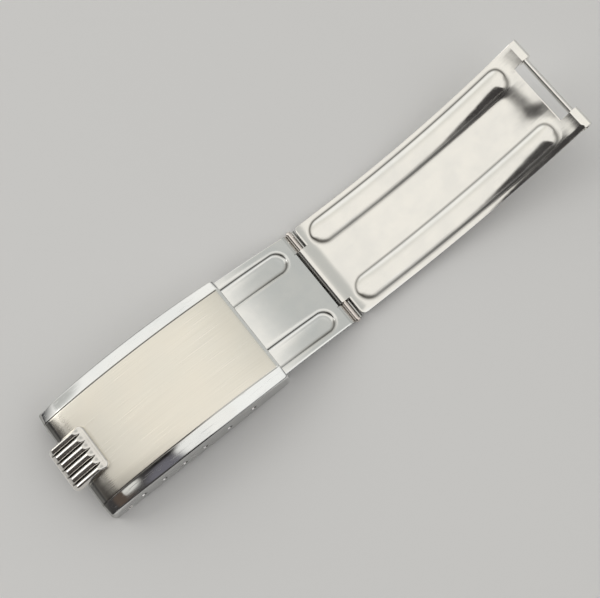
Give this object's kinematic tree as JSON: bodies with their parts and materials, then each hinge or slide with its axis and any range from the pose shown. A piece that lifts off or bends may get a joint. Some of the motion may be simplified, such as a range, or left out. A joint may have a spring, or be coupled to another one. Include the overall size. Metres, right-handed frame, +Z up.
{
  "type": "watch bracelet clasp",
  "caption": "Three-fold watch bracelet clasp in stamped steel sheet, opened out: brushed cover with lift tab, short inner blade and ribbed outer blade on two pin hinges.",
  "frame": {"origin": "middle of the footprint, on the surface the opened clasp lies on", "axes": "+X from the cover's lift tab end to the link pin end, +Y across the clasp, +Z up, away from the surface it lies on"},
  "size_m": [0.0836, 0.0176, 0.0088],
  "materials": {
    "cover_steel": "brushed top, polished bevels and walls",
    "blade_steel": "polished, with fine wear scratches",
    "tab_steel": "polished",
    "pin_steel": "polished"
  },
  "bodies": {
    "inner": {"inner_blade": "blade_steel", "middle_hinge_pin": "pin_steel"},
    "cover": {"cover_shell": "cover_steel", "lift_tab": "tab_steel", "cover_hinge_pin": "pin_steel"},
    "outer": {"outer_blade": "blade_steel", "link_pin": "pin_steel"}
  },
  "joints": [
    {"name": "cover_hinge", "type": "hinge", "parent": "inner", "child": "cover", "pos_m": [-0.0379, 0, 0.00115], "axis": [0, -1, 0], "range_deg": [0, 108]},
    {"name": "middle_hinge", "type": "hinge", "parent": "inner", "child": "outer", "pos_m": [0.0017, 0, 0.00095], "axis": [0, 1, 0], "range_deg": [-8, 187]}
  ]
}
